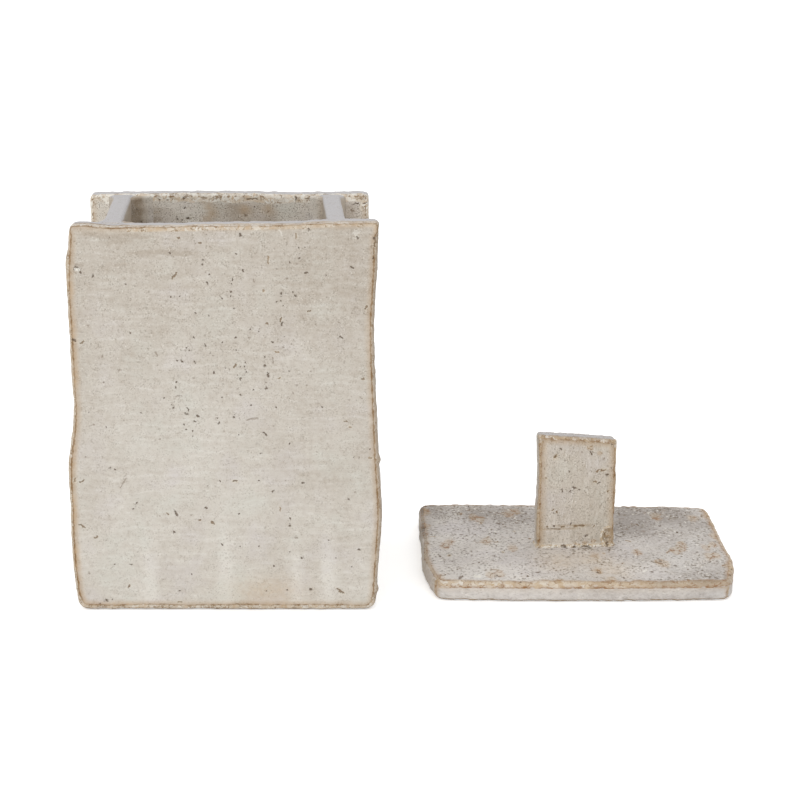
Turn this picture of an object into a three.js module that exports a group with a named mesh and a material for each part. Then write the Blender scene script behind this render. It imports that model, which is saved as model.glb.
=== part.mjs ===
import * as THREE from 'three';

// A lidded box built by hand from slabs of grogged stoneware clay, glazed and fired.
// Two wide slabs stand at the front and the back. Two narrower slabs stand between them,
// set in from their edges, so that the plan is an H. A floor slab fills the space between
// the walls, and rolls of clay are pressed into every inside seam. The lid is a flat slab
// with an upright slab for a knob, and it lies on the ground beside the box.
// Sizes are millimetres. +Z is up, +X points to the lid and the front slab faces -Y.
// The origin is the middle of the underside of the box.

// The box as a whole, how far its back was set to the left of its front, how much further
// out the left wall stands at the back, and how far the walls are set in from the slab edges
const boxHeight = 154.8;
const boxDepth = 99.6;
const backShift = 5.4;
const backSplay = 2.4;
const wallsSetIn = 12.7;

// Thicknesses of the rolled slabs
const frontThickness = 10.4;
const backThickness = 10.2;
const wallThickness = 7.6;
const floorThickness = 9;

// Front slab: its width where it stands and at its rim, how far the rim was cut over to
// the right, how far the whole slab is set to the left, and how much its rim falls to the left
const frontFootWidth = 119.6;
const frontRimWidth = 117.9;
const frontRimOver = 2.3;
const frontSetLeft = 0.8;
const frontRimFall = 1.4;

// Back slab, in the same way, and how far its rim stands above the others
const backFootWidth = 117.5;
const backRimWidth = 119.3;
const backSetLeft = 0.3;
const backRimFall = 0.3;
const backRimAbove = 0.3;

// Lid: wider at the back than at the front, and deeper on the left than on the right
const lidThickness = 8;
const lidFrontWidth = 122;
const lidBackWidth = 132.7;
const lidLeftDepth = 106;
const lidRightDepth = 101.9;
const lidAside = 144.9;
const lidSetBack = 12.4;

// Knob: an upright slab whose top was cut on a slope, turned a little on the lid
const knobWidth = 33.5;
const knobThickness = 7.2;
const knobHeight = 49.3;
const knobTopFall = 2.9;
const knobSetForward = 2.9;
const knobSetRight = 0.3;
const knobTurnDegrees = 4.4;

// Edges rounded with a wet finger, and the corners of the flat face inside those edges
const slabArris = 1.3;
const wallArris = 1.5;
const floorArris = 0.8;
const lidArris = 2;
const knobArris = 0.9;
const footCorner = 3;
const rimCorner = 0.1;
const lidCorner = 4;
const knobCorner = 0.4;
const floorCorner = 0.4;

// Rolls of clay pressed into the inside seams, and the thin edge they are smoothed out to
const leftBackRoll = 9;
const rightBackRoll = 5.5;
const frontRoll = 7;
const floorRoll = 6;
const rollEdge = 0.6;
const rollHollow = 0.3;
const rollBelowRim = 1;

// The film of slip between one piece of clay and the next
const slip = 0.3;

// How far each side of a hand-cut slab stands outside the straight line between its
// corners, at even steps. The sides follow each other anticlockwise from the lowest.
const frontWaver = {
  foot: [],
  right: [1.1, 1.9, 0.7, -0.2, -1.0, -1.5, -0.5],
  rim: [0.2, 0.4, 0.2],
  left: [1.3, 0.8, 0.3, 0, 2.2, 2.0, 1.7],
};
const backWaver = {
  foot: [],
  right: [0.8, 1.2, 0.7, 0.2, 0.4],
  rim: [-0.2, 0.3, 0.2],
  left: [0.3, 0.6, 1.1, 1.4, 0.8],
};
const lidWaver = {
  front: [1.2, 1.4, 1.2],
  right: [2.8, 1.5, 0.9],
  back: [0.6, 0.8, 0.6],
  left: [1.2, 1.4, 2.6],
};
const knobWaver = {
  foot: [],
  right: [-0.2, 0.3, 0.1],
  rim: [0.2],
  left: [-0.4, -0.3, 0.2],
};
const noWaver = {
  front: [],
  right: [],
  back: [],
  left: [],
};

// Fineness of the curves, and how much wider than its arris a slab's outline turns a corner
const curveSteps = 4;
const arrisSteps = 3;
const turnPerArris = 1.5;

// Places that follow from the sizes. Left and front are -1, right and back are +1.
const frontInnerFace = frontThickness - boxDepth / 2;
const backInnerFace = boxDepth / 2 - backThickness;
const innerDepth = backInnerFace - frontInnerFace;
const innerWidth = frontFootWidth - 2 * (wallsSetIn + wallThickness);
const halfWidth = innerWidth / 2;
const halfDepth = innerDepth / 2;
const floorRollTop = floorThickness + slip + floorRoll;
const rollTop = boxHeight - rollBelowRim;
const left = -1;
const right = 1;
const front = -1;
const back = 1;

// Pale glaze, thinner and darker inside where the clay shows through
const outerGlaze = { color: 0xccc5b9, roughness: 0.5, metalness: 0 };
const rimGlaze = { color: 0xc1bebf, roughness: 0.45, metalness: 0 };
const lidGlaze = { color: 0xbdb5ad, roughness: 0.5, metalness: 0 };
const knobGlaze = { color: 0xbfb4a7, roughness: 0.5, metalness: 0 };
const innerGlaze = { color: 0xa1927f, roughness: 0.7, metalness: 0 };

// How far before a corner the outline of a slab with rounded edges starts to turn.
function cornerTurn(faceCorner, arris) {
  return faceCorner + turnPerArris * arris;
}

// A slab outline: four corners in anticlockwise order, each rounded off, joined by sides
// that waver from the straight line.
function handCutOutline(corners, wavers, radii) {
  const sides = corners.map((corner, i) => {
    const j = (i + 1) % corners.length;
    const along = corners[j].clone().sub(corner).normalize();
    const outward = new THREE.Vector2(along.y, -along.x);
    const start = corner.clone().addScaledVector(along, radii[i]);
    const end = corners[j].clone().addScaledVector(along, -radii[j]);
    const bends = wavers[i].map((bow, k) => {
      const share = (k + 1) / (wavers[i].length + 1);
      return start.clone().lerp(end, share).addScaledVector(outward, bow);
    });
    return { start, end, bends };
  });
  const outline = new THREE.Shape();
  outline.moveTo(sides[0].start.x, sides[0].start.y);
  sides.forEach(({ end, bends }, i) => {
    const j = (i + 1) % corners.length;
    if (bends.length > 0) {
      outline.splineThru([...bends, end]);
    } else {
      outline.lineTo(end.x, end.y);
    }
    outline.quadraticCurveTo(corners[j].x, corners[j].y, sides[j].start.x, sides[j].start.y);
  });
  return outline;
}

// A slab of even thickness with all its edges rounded, its face in X and Y, from Z = 0 up.
function roundedSlab(outline, thickness, arris) {
  const geometry = new THREE.ExtrudeGeometry(outline, {
    depth: thickness - 2 * arris,
    curveSegments: curveSteps,
    bevelThickness: arris,
    bevelSize: arris,
    bevelOffset: -arris,
    bevelSegments: arrisSteps,
  });
  geometry.translate(0, 0, arris);
  return geometry;
}

// The same slab stood on its lowest side: its outline is in X and Z and its face at Y = 0.
function standingSlab(outline, thickness, arris) {
  const geometry = roundedSlab(outline, thickness, arris);
  geometry.rotateX(Math.PI / 2);
  geometry.translate(0, thickness, 0);
  return geometry;
}

// A straight piece with one section all along, square at both ends.
function straightLength(section, length) {
  return new THREE.ExtrudeGeometry(section, {
    depth: length,
    curveSegments: curveSteps,
    bevelEnabled: false,
  });
}

// Lays a straight length, whose section is in X and Z, along Y and about Y = 0.
function alongY(geometry, length) {
  geometry.rotateX(Math.PI / 2);
  geometry.translate(0, length / 2, 0);
  return geometry;
}

// Lays a straight length, whose section is in Y and Z, along X and about X = 0.
function alongX(geometry, length) {
  const turn = new THREE.Matrix4().makeBasis(
    new THREE.Vector3(0, 1, 0),
    new THREE.Vector3(0, 0, 1),
    new THREE.Vector3(1, 0, 0),
  );
  geometry.applyMatrix4(turn);
  geometry.translate(-length / 2, 0, 0);
  return geometry;
}

// How much further out than at the front the left wall stands at a depth Y.
function splayAt(y) {
  return backSplay * (y + halfDepth) / innerDepth;
}

// The box was put together out of square. Going back, everything between the front and
// back slabs leans to the left, what lies along the left wall leans further, and the ends
// still lie flat against the two slabs.
function leanLeft(geometry, splay) {
  const lean = -(backShift + splay) / innerDepth;
  geometry.applyMatrix4(new THREE.Matrix4().makeShear(0, 0, lean, 0, 0, 0));
  geometry.translate(-splay / 2, 0, 0);
  return geometry;
}

// The same for a piece that lies along one of the walls.
function leanWithWall(geometry, side) {
  return leanLeft(geometry, side === left ? backSplay : 0);
}

function addPiece(group, name, geometry, look) {
  const piece = new THREE.Mesh(geometry, new THREE.MeshStandardMaterial(look));
  piece.name = name;
  group.add(piece);
  return piece;
}

// Front slab: it hides the box behind it and reaches past both side walls.
function addFrontSlab(group) {
  const foot = frontFootWidth / 2;
  const rim = frontRimWidth / 2;
  const over = frontRimOver / 2;
  const corners = [
    new THREE.Vector2(-foot - over, 0),
    new THREE.Vector2(foot - over, 0),
    new THREE.Vector2(rim + over, boxHeight + frontRimFall / 2),
    new THREE.Vector2(over - rim, boxHeight - frontRimFall / 2),
  ];
  const radii = [footCorner, footCorner, rimCorner, rimCorner].map(
    (faceCorner) => cornerTurn(faceCorner, slabArris),
  );
  const outline = handCutOutline(corners, Object.values(frontWaver), radii);
  const geometry = standingSlab(outline, frontThickness, slabArris);
  const slab = addPiece(group, 'front_slab', geometry, outerGlaze);
  slab.position.set(backShift / 2 - frontSetLeft, -boxDepth / 2, 0);
}

// Back slab: set further to the left than the front one.
function addBackSlab(group) {
  const foot = backFootWidth / 2;
  const rim = backRimWidth / 2;
  const rimHeight = boxHeight + backRimAbove;
  const corners = [
    new THREE.Vector2(-foot, 0),
    new THREE.Vector2(foot, 0),
    new THREE.Vector2(rim, rimHeight + backRimFall / 2),
    new THREE.Vector2(-rim, rimHeight - backRimFall / 2),
  ];
  const radii = [footCorner, footCorner, rimCorner, rimCorner].map(
    (faceCorner) => cornerTurn(faceCorner, slabArris),
  );
  const outline = handCutOutline(corners, Object.values(backWaver), radii);
  const geometry = standingSlab(outline, backThickness, slabArris);
  const slab = addPiece(group, 'back_slab', geometry, outerGlaze);
  slab.position.set(-backShift / 2 - backSetLeft, backInnerFace, 0);
}

// Side wall: it stands between the two slabs, with a rounded rim that the lid rests on.
function addSideWall(group, name, side) {
  const inner = side * halfWidth;
  const outer = side * (halfWidth + wallThickness);
  const low = Math.min(inner, outer);
  const high = Math.max(inner, outer);
  const corners = [
    new THREE.Vector2(low, 0),
    new THREE.Vector2(high, 0),
    new THREE.Vector2(high, boxHeight),
    new THREE.Vector2(low, boxHeight),
  ];
  const radii = corners.map(() => wallArris);
  const section = handCutOutline(corners, Object.values(noWaver), radii);
  const length = innerDepth - 2 * slip;
  const geometry = alongY(straightLength(section, length), length);
  addPiece(group, name, leanWithWall(geometry, side), rimGlaze);
}

// Floor slab: it fills the space between the four walls, level with their feet.
function addFloorSlab(group) {
  const x = halfWidth - slip;
  const y = halfDepth - slip;
  const corners = [
    new THREE.Vector2(-x, -y),
    new THREE.Vector2(x, -y),
    new THREE.Vector2(x, y),
    new THREE.Vector2(-x - splayAt(y), y),
  ];
  const radii = corners.map(() => cornerTurn(floorCorner, floorArris));
  const outline = handCutOutline(corners, Object.values(noWaver), radii);
  const geometry = roundedSlab(outline, floorThickness, floorArris);
  addPiece(group, 'floor_slab', leanLeft(geometry, 0), innerGlaze);
}

// The section of a roll of clay that a finger has pressed into a corner: two straight legs
// against the clay behind it and a hollow face between two thin edges. The corner is at
// the given place, and the legs run the way that xWay and yWay say.
function rollSection(cornerX, cornerY, xWay, yWay, leg) {
  const at = (along, up) => [cornerX + xWay * along, cornerY + yWay * up];
  const hollow = leg * rollHollow;
  const section = new THREE.Shape();
  section.moveTo(...at(0, 0));
  section.lineTo(...at(leg, 0));
  section.lineTo(...at(leg, rollEdge));
  section.quadraticCurveTo(...at(hollow, hollow), ...at(rollEdge, leg));
  section.lineTo(...at(0, leg));
  section.closePath();
  return section;
}

// Upright roll in one corner, from the rolls on the floor to just under the rim.
function addCornerRoll(group, name, side, end, leg) {
  const x = side * (halfWidth - slip);
  const y = end * (halfDepth - slip);
  const foot = floorRollTop + slip;
  const geometry = straightLength(rollSection(x, y, -side, -end, leg), rollTop - foot);
  geometry.translate(0, 0, foot);
  addPiece(group, name, leanWithWall(geometry, side), innerGlaze);
}

// Roll on the floor along the front or the back slab, from wall to wall.
function addLongFloorRoll(group, name, end) {
  const y = end * (halfDepth - slip);
  const splay = splayAt(end === back ? y - floorRoll : y);
  const length = innerWidth + splay - 2 * slip;
  const section = rollSection(y, floorThickness + slip, -end, 1, floorRoll);
  const geometry = alongX(straightLength(section, length), length);
  geometry.translate(-splay / 2, 0, 0);
  addPiece(group, name, leanLeft(geometry, 0), innerGlaze);
}

// Roll on the floor along a side wall, between the two long ones.
function addShortFloorRoll(group, name, side) {
  const x = side * (halfWidth - slip);
  const length = innerDepth - 2 * (slip + floorRoll + slip);
  const section = rollSection(x, floorThickness + slip, -side, 1, floorRoll);
  const geometry = alongY(straightLength(section, length), length);
  addPiece(group, name, leanWithWall(geometry, side), innerGlaze);
}

function addLidSlab(group) {
  const frontX = lidFrontWidth / 2;
  const backX = lidBackWidth / 2;
  const frontY = -(lidLeftDepth + lidRightDepth) / 4;
  const corners = [
    new THREE.Vector2(-frontX, frontY),
    new THREE.Vector2(frontX, frontY),
    new THREE.Vector2(backX, frontY + lidRightDepth),
    new THREE.Vector2(-backX, frontY + lidLeftDepth),
  ];
  const radii = corners.map(() => cornerTurn(lidCorner, lidArris));
  const outline = handCutOutline(corners, Object.values(lidWaver), radii);
  addPiece(group, 'lid_slab', roundedSlab(outline, lidThickness, lidArris), lidGlaze);
}

// Knob: luted upright on the lid. A turned group keeps it at its angle.
function addLidKnob(group) {
  const half = knobWidth / 2;
  const corners = [
    new THREE.Vector2(-half, 0),
    new THREE.Vector2(half, 0),
    new THREE.Vector2(half, knobHeight - knobTopFall),
    new THREE.Vector2(-half, knobHeight),
  ];
  const radii = corners.map(() => cornerTurn(knobCorner, knobArris));
  const outline = handCutOutline(corners, Object.values(knobWaver), radii);
  const turned = new THREE.Group();
  turned.position.set(knobSetRight, -knobSetForward, lidThickness + slip);
  turned.rotation.z = THREE.MathUtils.degToRad(knobTurnDegrees);
  group.add(turned);
  const geometry = standingSlab(outline, knobThickness, knobArris);
  const knob = addPiece(turned, 'lid_knob', geometry, knobGlaze);
  knob.position.y = -knobThickness / 2;
}

const vessel = new THREE.Group();
addFrontSlab(vessel);
addBackSlab(vessel);

const between = new THREE.Group();
between.position.y = (frontInnerFace + backInnerFace) / 2;
vessel.add(between);
addSideWall(between, 'left_wall', left);
addSideWall(between, 'right_wall', right);
addFloorSlab(between);
addCornerRoll(between, 'front_left_roll', left, front, frontRoll);
addCornerRoll(between, 'front_right_roll', right, front, frontRoll);
addCornerRoll(between, 'back_left_roll', left, back, leftBackRoll);
addCornerRoll(between, 'back_right_roll', right, back, rightBackRoll);
addLongFloorRoll(between, 'floor_front_roll', front);
addLongFloorRoll(between, 'floor_back_roll', back);
addShortFloorRoll(between, 'floor_left_roll', left);
addShortFloorRoll(between, 'floor_right_roll', right);

const lid = new THREE.Group();
lid.position.set(lidAside, lidSetBack, 0);
vessel.add(lid);
addLidSlab(lid);
addLidKnob(lid);

export default vessel;
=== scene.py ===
import math

import bmesh
import bpy
import numpy as np
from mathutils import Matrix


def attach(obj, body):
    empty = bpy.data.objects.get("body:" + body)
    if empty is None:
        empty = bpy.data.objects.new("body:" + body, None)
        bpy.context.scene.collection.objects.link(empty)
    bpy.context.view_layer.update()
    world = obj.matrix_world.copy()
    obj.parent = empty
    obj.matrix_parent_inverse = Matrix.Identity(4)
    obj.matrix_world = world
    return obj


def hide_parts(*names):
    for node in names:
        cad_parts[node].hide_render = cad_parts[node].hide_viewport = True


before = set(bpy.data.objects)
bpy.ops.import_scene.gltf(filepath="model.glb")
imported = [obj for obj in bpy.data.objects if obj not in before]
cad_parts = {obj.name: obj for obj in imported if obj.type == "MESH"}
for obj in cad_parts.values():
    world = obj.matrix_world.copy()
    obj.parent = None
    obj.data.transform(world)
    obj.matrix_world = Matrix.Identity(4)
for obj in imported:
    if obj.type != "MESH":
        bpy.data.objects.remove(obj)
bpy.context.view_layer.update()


# Camera
# It stands in front of the gap between box and lid and looks down a little. Its place also
# tells where a spot of the photograph lies on a flat face of the piece.

MM = 0.001
WIDE = np.array([1.0, 0.0, 0.0])
DEEP = np.array([0.0, 1.0, 0.0])
TALL = np.array([0.0, 0.0, 1.0])
CAMERA_PLACE = np.array([70.2, -728.6, 257.3])
CAMERA_FALL = math.radians(14.109)
CAMERA_LENS = 81.0
CAMERA_SENSOR = 36.0
IMAGE_SIZE = 800

camera = bpy.data.cameras.new("camera")
camera.sensor_width = CAMERA_SENSOR
camera.lens = CAMERA_LENS
camera_holder = bpy.data.objects.new("camera", camera)
bpy.context.scene.collection.objects.link(camera_holder)
camera_holder.location = CAMERA_PLACE * MM
camera_holder.rotation_euler = (math.pi / 2 - CAMERA_FALL, 0, 0)
bpy.context.scene.camera = camera_holder
bpy.context.scene.view_settings.view_transform = "Standard"


def seen_on(spots, out, through):
    """Where the camera sees spots of the photograph on a flat face, in millimetres. The face
    looks along out, and all its points have the coordinate through along it."""
    spots = np.array(spots, float)
    focus = CAMERA_LENS / CAMERA_SENSOR * IMAGE_SIZE
    across = (spots[:, 0] - IMAGE_SIZE / 2) / focus
    up = (IMAGE_SIZE / 2 - spots[:, 1]) / focus
    ahead = DEEP * math.cos(CAMERA_FALL) - TALL * math.sin(CAMERA_FALL)
    above = DEEP * math.sin(CAMERA_FALL) + TALL * math.cos(CAMERA_FALL)
    rays = ahead + across[:, None] * WIDE + up[:, None] * above
    reach = (through - CAMERA_PLACE @ out) / (rays @ out)
    return CAMERA_PLACE + rays * reach[:, None]


# Front slab
# One rolled slab of coarse stoneware with grog in it, cut by hand with a knife, its edges
# rounded with a wet finger. It was joined to the two walls with slip, then brushed with a
# pale glaze that broke to brown on the edges and left pinholes where the grog gave off gas.

# Points that lie nearer than this, in millimetres, are one
WELD = 0.01
# Random heights on a lattice, and how far along it each seed starts
LATTICE = np.random.default_rng(1954).random((32, 32, 32))
SEED_STEP = np.array([3.7, 5.3, 7.1])
# How many points are measured to a slab's edge in one go, to spare memory
POINTS_AT_ONCE = 20000


def clay_copy(node, cell, stretch=None):
    """A piece of the frame as an even skin of small cells: its object, and in millimetres
    its points and which way each of them faces."""
    piece = bpy.data.objects.new(node + "_clay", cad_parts[node].data.copy())
    bpy.context.scene.collection.objects.link(piece)
    if stretch is not None:
        write_points(piece.data, stretch(read_points(piece.data)))
    merge = bmesh.new()
    merge.from_mesh(piece.data)
    bmesh.ops.remove_doubles(merge, verts=merge.verts, dist=WELD * MM)
    merge.to_mesh(piece.data)
    merge.free()
    cells = piece.modifiers.new("cells", "REMESH")
    cells.mode = "VOXEL"
    cells.voxel_size = cell * MM
    cells.use_smooth_shade = True
    graph = bpy.context.evaluated_depsgraph_get()
    skin = bpy.data.meshes.new_from_object(piece.evaluated_get(graph))
    piece.modifiers.clear()
    piece.data = skin
    skin.materials.clear()
    facing = np.empty(len(skin.vertices) * 3)
    skin.vertex_normals.foreach_get("vector", facing)
    return piece, read_points(skin), facing.reshape(-1, 3)


def read_points(mesh):
    """The mesh's points, in millimetres."""
    points = np.empty(len(mesh.vertices) * 3)
    mesh.vertices.foreach_get("co", points)
    return points.reshape(-1, 3) / MM


def write_points(mesh, points):
    """Moves the mesh's points to these places, in millimetres."""
    mesh.vertices.foreach_set("co", (points * MM).astype(np.float32).ravel())
    mesh.update()


def ease(values, start, end):
    """0 before start, 1 after end, and smooth between them."""
    share = np.clip((values - start) / (end - start), 0, 1)
    return share * share * (3 - 2 * share)


def lumps(points, size, seed):
    """Smooth random heights from -1 to 1, in lumps of that many millimetres."""
    spot = points / np.array(size) + seed * SEED_STEP
    low = np.floor(spot).astype(int)
    share = ease(spot - low, 0, 1)
    height = np.zeros(len(points))
    for corner in np.ndindex(2, 2, 2):
        weight = np.prod(np.where(corner, share, 1 - share), axis=1)
        i, j, k = ((low + corner) % len(LATTICE)).T
        height += weight * LATTICE[i, j, k]
    return 2 * height - 1


def relief(points, layers, seed):
    """Heights in millimetres of lumps on lumps: each layer has its height and its size."""
    return sum(height * lumps(points, size, seed + order)
               for order, (height, size) in enumerate(layers))


def patches(points, out, face, kinds):
    """How near each point is to a spot of each kind: 1 on it, and fading out over the reach.
    The spots are those of the photograph, on a flat face."""
    near = {}
    for kind, (spots, reach) in kinds.items():
        nearest = np.full(len(points), np.inf)
        for spot in seen_on(spots, out, face):
            nearest = np.minimum(nearest, (((points - spot) / np.array(reach)) ** 2).sum(axis=1))
        near[kind] = np.exp(-nearest)
    return near


def from_edge(node, points, axes, below=0.0):
    """How far each point of a slab is from the edge of its flat face, over the surface:
    positive on the face, negative round the arris and on down the side. Also the arris. The
    lower edge is taken that much lower than it is."""
    across, up, out = axes
    solid = read_points(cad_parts[node].data)
    through = solid @ out
    plan = np.stack([solid @ across, solid @ up], axis=1)
    rim = plan[through < through.min() + WELD]
    arris = plan[:, 0].max() - rim[:, 0].max()
    rim = np.unique(rim.round(3), axis=0)
    middle = (rim.min(axis=0) + rim.max(axis=0)) / 2
    rim[rim[:, 1] < middle[1], 1] -= below
    rim = rim[np.argsort(np.arctan2(*(rim - middle).T[::-1]))]
    run = np.roll(rim, -1, axis=0) - rim
    outward = np.stack([run[:, 1], -run[:, 0]], axis=1)
    outward /= np.linalg.norm(outward, axis=1)[:, None]
    spots = np.stack([points @ across, points @ up], axis=1)
    inside = np.empty(len(points))
    for part in np.array_split(np.arange(len(points)), 1 + len(points) // POINTS_AT_ONCE):
        gap = spots[part, None, :] - rim
        share = np.clip((gap * run).sum(axis=2) / (run * run).sum(axis=1), 0, 1)
        away = gap - share[:, :, None] * run
        nearest = (away * away).sum(axis=2).argmin(axis=1)
        away = away[np.arange(len(part)), nearest]
        distance = np.linalg.norm(away, axis=1)
        inside[part] = np.where((away * outward[nearest]).sum(axis=1) > 0, -distance, distance)
    depth = points @ out
    depth = np.minimum(depth - through.min(), through.max() - depth)
    turned = -arris * np.arctan2(-inside, np.maximum(arris - depth, 0.001))
    down = -arris * math.pi / 2 - (depth - arris)
    return np.where(inside > 0, inside, np.where(depth < arris, turned, down)), arris


def widen(edge, arris, extra):
    """The edge as it is where the strip of flakes runs that much further on to the face."""
    strip = arris * math.pi / 2
    return (edge - extra) * strip / (strip + extra)


# From where to where over the edge the clay is torn, and the height and size of each layer
# of lumps, on a slab and on its torn edge
TORN_EDGE = (1.5, -0.5)
SLAB_SKIN = ((0.12, 22), (0.07, 7), (0.05, 2.2))
SLAB_TORN = ((0.22, 2.6), (0.12, 1.3))


def rough_slab(points, edge, skin, torn, seed):
    """Heights of a slab's skin, with coarser lumps on its torn edge."""
    torn = relief(points, torn, seed + len(skin))
    return relief(points, skin, seed) + ease(edge, *TORN_EDGE) * torn


# What each kind of mark shows: how dark its core is, how rusty, and how pale its rim. The
# core of a chip or of a pale mark is white instead of dark.
MARK_KINDS = {
    "pit": (0.85, 0.1, 0.0), "faint": (0.45, 0.5, 0.0), "ringed": (0.85, 0.2, 0.7),
    "crack": (0.8, 0.6, 0.4), "rust": (0.7, 1.0, 0.5), "chip": (-0.9, 0.0, 0.0),
    "pale": (-0.45, 0.0, 0.0),
}
# The skin keeps its marks in layers. In one layer they lie this far apart, and a point that
# is about as near to two of them shows neither. A mark this wide is also a hollow.
MARK_LAYERS = 3
MARK_GAP = 2.6
CELL_REACH = 1.0
DEEP_ENOUGH = 0.9
HOLLOW_DEPTH = 0.7


def press_marks(piece, points, axes, face, where, marks):
    """Pits, cracks and chips on one face. Each mark has its spot in the photograph, its
    length, width, slope in degrees and kind. The skin keeps, for the nearest mark of each
    layer, where it lies in half widths of the mark. Returns how deep each point goes."""
    across, up, out = axes
    spots = seen_on([mark[:2] for mark in marks], out, face)
    length, width, slope = np.array([mark[2:5] for mark in marks], float).T
    half = width / 2
    slope = np.radians(slope)
    shows = np.array([MARK_KINDS[mark[5]] for mark in marks])
    tail = np.maximum(length / 2 - half, 0)
    layers = [[] for layer in range(MARK_LAYERS)]
    for i, spot in enumerate(spots):
        for layer in layers:
            apart = np.linalg.norm(spots[layer] - spot, axis=1) - tail[layer] - tail[i]
            if (apart > MARK_GAP).all():
                layer.append(i)
                break
    sunk = np.zeros(len(points))
    rows = np.flatnonzero(where)
    every = np.arange(len(rows))
    for order, layer in enumerate(layers):
        place = np.zeros((len(points), 3))
        show = np.zeros((len(points), 3))
        if len(layer) > 1:
            gap = points[rows, None, :] - spots[layer]
            x, z = gap @ across, gap @ up
            turn = slope[layer]
            along = x * np.cos(turn) + z * np.sin(turn)
            aside = z * np.cos(turn) - x * np.sin(turn)
            away = np.hypot(np.maximum(np.abs(along) - tail[layer], 0), aside)
            first, second = np.argsort(away, axis=1)[:, :2].T
            own = np.array(layer)[first]
            local = [along[every, first], aside[every, first], tail[own]]
            place[rows] = np.stack(local, axis=1) / half[own][:, None]
            clear = away[every, second] - away[every, first] > CELL_REACH
            show[rows] = shows[own] * clear[:, None]
            depth = np.where(width[own] >= DEEP_ENOUGH, half[own] * HOLLOW_DEPTH, 0)
            depth *= 1 - ease(away[every, first] / half[own], 0.4, 1.6)
            sunk[rows] = np.maximum(sunk[rows], depth)
        store(piece.data, f"mark_place_{order}", place)
        store(piece.data, f"mark_show_{order}", show)
    return sunk


def store(mesh, name, values):
    """Keeps a value for each point, for the glaze to read."""
    kind, field = ("FLOAT", "value") if values.ndim == 1 else ("FLOAT_VECTOR", "vector")
    layer = mesh.attributes.new(name, kind, "POINT")
    layer.data.foreach_set(field, values.astype(np.float32).ravel())


# What the glaze reads at each point, and what it is where a piece says nothing: how far the
# slab's edge is, how pale the coat is, with painted shade and painted light in that too, how
# much of the painted cool shade of a top face it takes, how bare, pitted and coarse it is,
# warm and rusty patches, crusts of flakes, how chalky these are and, below nought, how dull,
# which on a side turned from the lamp is painted shade, how whole the brown lines are, and
# how far the coat is the thin inner one
PLAIN = {"edge": 50, "tone": 0, "top_shade_share": 0, "bare": 0, "pitted": 1, "coarse": 1, "warm": 0,
         "rust": 0, "crust": 0, "chalk_and_shade": 0, "lined": 1, "wash": 0}
NO_EDGE = -50
# How far a face looks up where it takes the painted cool shade of a top face, and down where
# it was wiped off. A face that a mark is pressed in looks at least this much to the front.
LEVEL = (0.35, 0.85)
UNDERSIDE = (-0.4, -0.9)
TO_THE_FRONT = -0.7


def dress(piece, node, points, facing, material, values):
    """Gives the piece its shape and glaze, and puts it in its node's place. The glaze was
    wiped off the underside of every piece, so that it wouldn't stick in the kiln."""
    values = dict(PLAIN, bare=ease(facing[:, 2], *UNDERSIDE), **values)
    for name in PLAIN:
        store(piece.data, name, np.zeros(len(points)) + values[name])
    write_points(piece.data, points)
    piece.data.materials.append(material)
    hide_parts(node)
    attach(piece, "lid" if node.startswith("lid") else "box")


def paint(code):
    """A colour written as sRGB hex, turned to the linear values that light adds up in."""
    parts = [int(code[i:i + 2], 16) / 255 for i in (1, 3, 5)]
    linear = [c / 12.92 if c <= 0.04045 else ((c + 0.055) / 1.055) ** 2.4 for c in parts]
    return (*linear, 1.0)


def add_node(tree, kind, inputs=None, **settings):
    """Adds a node with its settings, sets or links each of its inputs, and returns what
    comes out of it."""
    node = tree.nodes.new("ShaderNode" + kind)
    for name, value in settings.items():
        setattr(node, name, value)
    for key, value in (inputs or {}).items():
        if isinstance(value, bpy.types.NodeSocket):
            tree.links.new(value, node.inputs[key])
        else:
            node.inputs[key].default_value = value
    return node.outputs


GLAZE_IOR = 1.52
BARE_ROUGHNESS = 0.9
SMOOTH = {"interpolation_type": "SMOOTHSTEP"}
# In millimetres: the depths of a pit and of a furrow, and how softly the edge strip ends
PIT_DEPTH = 0.3
FURROW_DEPTH = 0.1
SOFT = 0.25
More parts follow.
